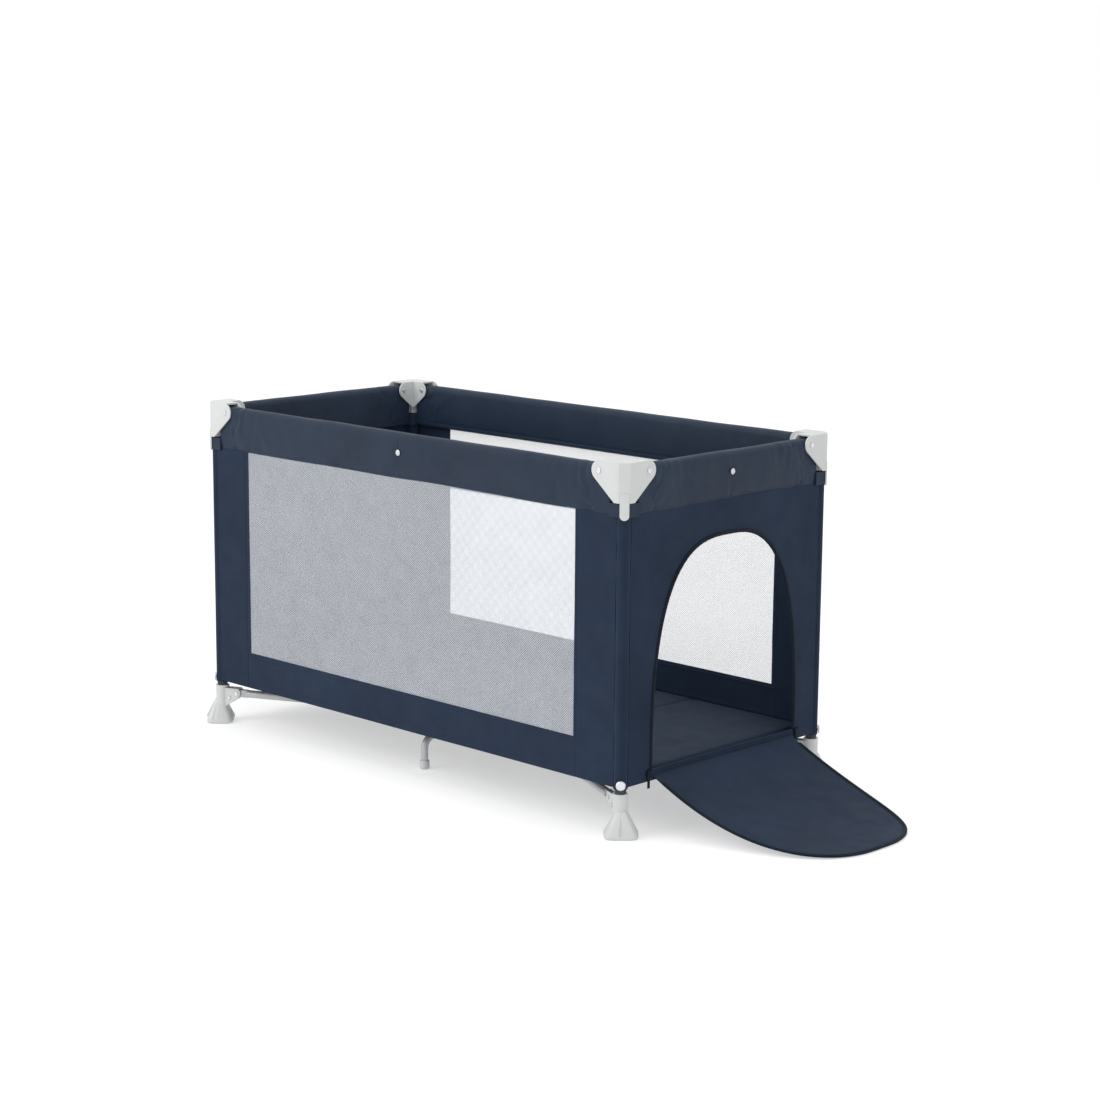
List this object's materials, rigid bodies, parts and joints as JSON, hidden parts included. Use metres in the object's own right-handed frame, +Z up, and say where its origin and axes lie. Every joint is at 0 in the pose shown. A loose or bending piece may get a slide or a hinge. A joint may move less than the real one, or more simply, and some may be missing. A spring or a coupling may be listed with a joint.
{
  "type": "playpen",
  "caption": "Folding rectangular playpen with padded top rails, net windows, pale corner castings and feet, and an arched side door whose flap lies open on the floor.",
  "frame": {"origin": "on the floor, under the middle of the pen", "axes": "+X towards the door end, +Y towards the back long side, +Z up"},
  "size_m": [1.7407, 0.6922, 0.76],
  "materials": {
    "grey_metal": "satin grey powder coat",
    "dark_metal": "satin dark powder coat",
    "steel": "bright zinc-plated steel",
    "lock_steel": "bright zinc-plated pressed steel",
    "button_plastic": "moulded, matte",
    "hub_plastic": "moulded, matte, dark grey",
    "pale_plastic": "moulded, fine satin, pale grey",
    "zip_metal": "black enamel",
    "net": "knitted nylon mesh",
    "cover_fabric": "navy coated polyester, padded, slight sheen",
    "wall_fabric": "navy woven polyester",
    "mattress_fabric": "navy woven polyester over a padded board"
  },
  "bodies": {
    "hub": {"hub": "hub_plastic", "floor_sheet": "wall_fabric"},
    "mattress": {"mattress": "mattress_fabric"},
    "arm_fl": {"arm_fl": "grey_metal"},
    "corner_fl": {"post_fl": "dark_metal", "foot_fl": "pale_plastic", "casting_fl": "pale_plastic", "sleeve_fl": "wall_fabric", "fasteners_fl": "steel", "front_border": "wall_fabric", "front_net": "net", "left_wall": "wall_fabric"},
    "long_rail_fl": {"long_rail_fl": "steel", "cover_front": "cover_fabric"},
    "short_rail_fl": {"short_rail_fl": "steel", "cover_left": "cover_fabric"},
    "arm_fr": {"arm_fr": "grey_metal"},
    "corner_fr": {"post_fr": "dark_metal", "foot_fr": "pale_plastic", "casting_fr": "pale_plastic", "sleeve_fr": "wall_fabric", "fasteners_fr": "steel", "door_wall": "wall_fabric", "zip_slider_front": "zip_metal"},
    "long_rail_fr": {"long_rail_fr": "steel"},
    "short_rail_fr": {"short_rail_fr": "steel", "cover_right": "cover_fabric"},
    "arm_bl": {"arm_bl": "grey_metal"},
    "corner_bl": {"post_bl": "dark_metal", "foot_bl": "pale_plastic", "casting_bl": "pale_plastic", "sleeve_bl": "wall_fabric", "fasteners_bl": "steel", "back_border": "wall_fabric", "back_net": "net"},
    "long_rail_bl": {"long_rail_bl": "steel", "cover_back": "cover_fabric"},
    "short_rail_bl": {"short_rail_bl": "steel"},
    "arm_br": {"arm_br": "grey_metal"},
    "corner_br": {"post_br": "dark_metal", "foot_br": "pale_plastic", "casting_br": "pale_plastic", "sleeve_br": "wall_fabric", "fasteners_br": "steel", "zip_slider_back": "zip_metal"},
    "long_rail_br": {"long_rail_br": "steel"},
    "short_rail_br": {"short_rail_br": "steel"},
    "lock_front": {"lock_front": "lock_steel"},
    "button_front": {"button_front": "button_plastic"},
    "lock_back": {"lock_back": "lock_steel"},
    "button_back": {"button_back": "button_plastic"},
    "lock_left": {"lock_left": "lock_steel"},
    "button_left": {"button_left": "button_plastic"},
    "lock_right": {"lock_right": "lock_steel"},
    "button_right": {"button_right": "button_plastic"},
    "leg_front": {"leg_front": "grey_metal", "leg_cap_front": "pale_plastic"},
    "leg_back": {"leg_back": "grey_metal", "leg_cap_back": "pale_plastic"},
    "door_flap": {"door_flap": "wall_fabric"}
  },
  "joints": [
    {"name": "frame_fold", "type": "hinge", "parent": "hub", "child": "arm_fl", "pos_m": [-0.10071, -0.04861, 0.071], "axis": [0.4347, -0.9006, 0], "range_deg": [0, 84], "deforming": ["floor_sheet", "mattress", "front_border", "front_net", "left_wall", "back_border", "back_net", "door_wall", "cover_front", "cover_back", "cover_left", "cover_right"]},
    {"name": "foot_fold_fl", "type": "hinge", "parent": "arm_fl", "child": "corner_fl", "pos_m": [-0.59998, -0.28961, 0.071], "axis": [-0.4347, 0.9006, 0], "range_deg": [0, 84]},
    {"name": "long_rail_fold_fl", "type": "hinge", "parent": "corner_fl", "child": "long_rail_fl", "pos_m": [-0.586, -0.307, 0.74], "axis": [0, 1, 0], "range_deg": [0, 84]},
    {"name": "short_rail_fold_fl", "type": "hinge", "parent": "corner_fl", "child": "short_rail_fl", "pos_m": [-0.636, -0.257, 0.74], "axis": [-1, 0, 0], "range_deg": [0, 84]},
    {"name": "arm_fold_fr", "type": "hinge", "parent": "hub", "child": "arm_fr", "pos_m": [0.10071, -0.04861, 0.071], "axis": [0.4347, 0.9006, 0], "range_deg": [0, 84]},
    {"name": "foot_fold_fr", "type": "hinge", "parent": "arm_fr", "child": "corner_fr", "pos_m": [0.59998, -0.28961, 0.071], "axis": [-0.4347, -0.9006, 0], "range_deg": [0, 84]},
    {"name": "long_rail_fold_fr", "type": "hinge", "parent": "corner_fr", "child": "long_rail_fr", "pos_m": [0.586, -0.307, 0.74], "axis": [0, -1, 0], "range_deg": [0, 84]},
    {"name": "short_rail_fold_fr", "type": "hinge", "parent": "corner_fr", "child": "short_rail_fr", "pos_m": [0.636, -0.257, 0.74], "axis": [-1, 0, 0], "range_deg": [0, 84]},
    {"name": "arm_fold_bl", "type": "hinge", "parent": "hub", "child": "arm_bl", "pos_m": [-0.10071, 0.04861, 0.071], "axis": [-0.4347, -0.9006, 0], "range_deg": [0, 84]},
    {"name": "foot_fold_bl", "type": "hinge", "parent": "arm_bl", "child": "corner_bl", "pos_m": [-0.59998, 0.28961, 0.071], "axis": [0.4347, 0.9006, 0], "range_deg": [0, 84]},
    {"name": "long_rail_fold_bl", "type": "hinge", "parent": "corner_bl", "child": "long_rail_bl", "pos_m": [-0.586, 0.307, 0.74], "axis": [0, 1, 0], "range_deg": [0, 84]},
    {"name": "short_rail_fold_bl", "type": "hinge", "parent": "corner_bl", "child": "short_rail_bl", "pos_m": [-0.636, 0.257, 0.74], "axis": [1, 0, 0], "range_deg": [0, 84]},
    {"name": "arm_fold_br", "type": "hinge", "parent": "hub", "child": "arm_br", "pos_m": [0.10071, 0.04861, 0.071], "axis": [-0.4347, 0.9006, 0], "range_deg": [0, 84]},
    {"name": "foot_fold_br", "type": "hinge", "parent": "arm_br", "child": "corner_br", "pos_m": [0.59998, 0.28961, 0.071], "axis": [0.4347, -0.9006, 0], "range_deg": [0, 84]},
    {"name": "long_rail_fold_br", "type": "hinge", "parent": "corner_br", "child": "long_rail_br", "pos_m": [0.586, 0.307, 0.74], "axis": [0, -1, 0], "range_deg": [0, 84]},
    {"name": "short_rail_fold_br", "type": "hinge", "parent": "corner_br", "child": "short_rail_br", "pos_m": [0.636, 0.257, 0.74], "axis": [1, 0, 0], "range_deg": [0, 84]},
    {"name": "lock_fold_front", "type": "hinge", "parent": "long_rail_fl", "child": "lock_front", "pos_m": [-0.08673, -0.307, 0.74], "axis": [0, -1, 0], "range_deg": [0, 84]},
    {"name": "release_front", "type": "slide", "parent": "lock_front", "child": "button_front", "axis": [0, 0, 1], "range_m": [0, 0.005], "stiffness_N_per_m": 400, "springref_m": -0.004},
    {"name": "lock_fold_back", "type": "hinge", "parent": "long_rail_bl", "child": "lock_back", "pos_m": [-0.08673, 0.307, 0.74], "axis": [0, -1, 0], "range_deg": [0, 84]},
    {"name": "release_back", "type": "slide", "parent": "lock_back", "child": "button_back", "axis": [0, 0, 1], "range_m": [0, 0.005], "stiffness_N_per_m": 400, "springref_m": -0.004},
    {"name": "lock_fold_left", "type": "hinge", "parent": "short_rail_fl", "child": "lock_left", "pos_m": [-0.636, -0.016, 0.74], "axis": [1, 0, 0], "range_deg": [0, 84]},
    {"name": "release_left", "type": "slide", "parent": "lock_left", "child": "button_left", "axis": [0, 0, 1], "range_m": [0, 0.005], "stiffness_N_per_m": 400, "springref_m": -0.004},
    {"name": "lock_fold_right", "type": "hinge", "parent": "short_rail_fr", "child": "lock_right", "pos_m": [0.636, -0.016, 0.74], "axis": [1, 0, 0], "range_deg": [0, 84]},
    {"name": "release_right", "type": "slide", "parent": "lock_right", "child": "button_right", "axis": [0, 0, 1], "range_m": [0, 0.005], "stiffness_N_per_m": 400, "springref_m": -0.004},
    {"name": "leg_fold_front", "type": "hinge", "parent": "hub", "child": "leg_front", "pos_m": [0, -0.07, 0.071], "axis": [1, 0, 0], "range_deg": [0, 84]},
    {"name": "leg_fold_back", "type": "hinge", "parent": "hub", "child": "leg_back", "pos_m": [0, 0.07, 0.071], "axis": [-1, 0, 0], "range_deg": [0, 84]},
    {"name": "door_hinge", "type": "hinge", "parent": "corner_fr", "child": "door_flap", "pos_m": [0.6478, 0, 0.111], "axis": [0, -1, 0], "range_deg": [0, 105], "deforming": ["door_flap"]},
    {"name": "mattress_lift", "type": "slide", "parent": "hub", "child": "mattress", "axis": [0, 0, 1], "range_m": [0, 0.7]}
  ],
  "couplings": [
    {"joint": "foot_fold_fl", "follows": "frame_fold", "ratio": 1},
    {"joint": "long_rail_fold_fl", "follows": "frame_fold", "ratio": 1},
    {"joint": "short_rail_fold_fl", "follows": "frame_fold", "ratio": 1},
    {"joint": "arm_fold_fr", "follows": "frame_fold", "ratio": 1},
    {"joint": "foot_fold_fr", "follows": "frame_fold", "ratio": 1},
    {"joint": "long_rail_fold_fr", "follows": "frame_fold", "ratio": 1},
    {"joint": "short_rail_fold_fr", "follows": "frame_fold", "ratio": 1},
    {"joint": "arm_fold_bl", "follows": "frame_fold", "ratio": 1},
    {"joint": "foot_fold_bl", "follows": "frame_fold", "ratio": 1},
    {"joint": "long_rail_fold_bl", "follows": "frame_fold", "ratio": 1},
    {"joint": "short_rail_fold_bl", "follows": "frame_fold", "ratio": 1},
    {"joint": "arm_fold_br", "follows": "frame_fold", "ratio": 1},
    {"joint": "foot_fold_br", "follows": "frame_fold", "ratio": 1},
    {"joint": "long_rail_fold_br", "follows": "frame_fold", "ratio": 1},
    {"joint": "short_rail_fold_br", "follows": "frame_fold", "ratio": 1},
    {"joint": "lock_fold_front", "follows": "frame_fold", "ratio": 1},
    {"joint": "lock_fold_back", "follows": "frame_fold", "ratio": 1},
    {"joint": "lock_fold_left", "follows": "frame_fold", "ratio": 1},
    {"joint": "lock_fold_right", "follows": "frame_fold", "ratio": 1},
    {"joint": "leg_fold_front", "follows": "frame_fold", "ratio": 1},
    {"joint": "leg_fold_back", "follows": "frame_fold", "ratio": 1}
  ]
}
